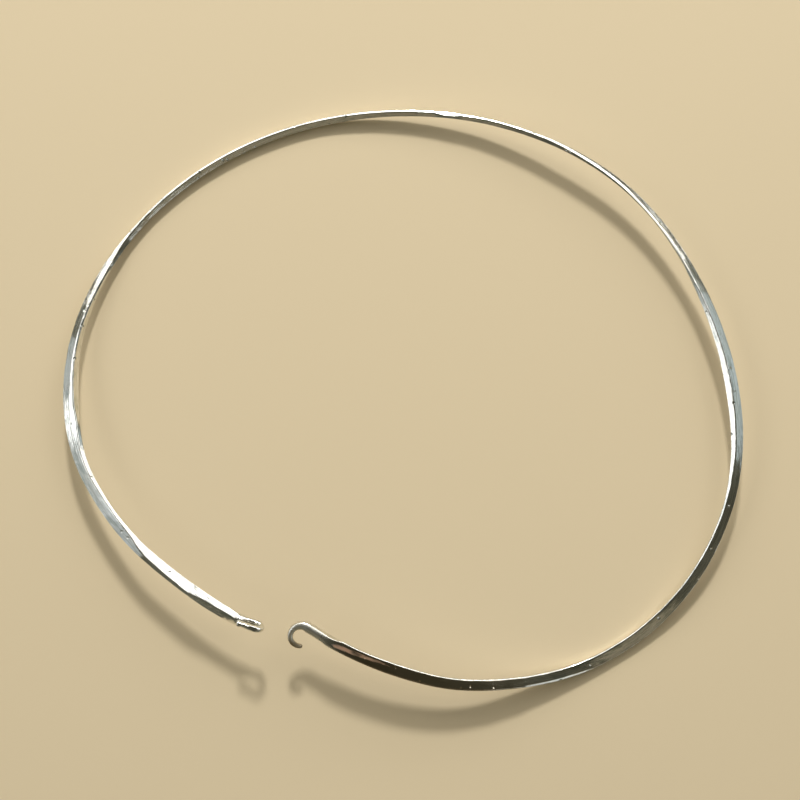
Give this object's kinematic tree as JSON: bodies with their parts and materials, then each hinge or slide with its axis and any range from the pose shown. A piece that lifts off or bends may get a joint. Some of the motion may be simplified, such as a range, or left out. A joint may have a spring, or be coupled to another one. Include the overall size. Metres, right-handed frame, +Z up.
{
  "type": "silver torc",
  "caption": "Open oval neck ring forged from one slim silver bar, springy, with a curled wire hook at one end and a narrow bent eye at the other.",
  "frame": {"origin": "middle of the ring's outline in plan, on the surface that it lies on", "axes": "+X along the ring's length, +Y towards the back of the ring, away from its open ends, +Z up from the surface"},
  "size_m": [0.139, 0.119, 0.0111],
  "materials": {
    "silver": "polished sterling silver, hand forged, with fine lengthwise polishing lines and light wear"
  },
  "bodies": {
    "root": {"torc": "silver"}
  },
  "joints": []
}
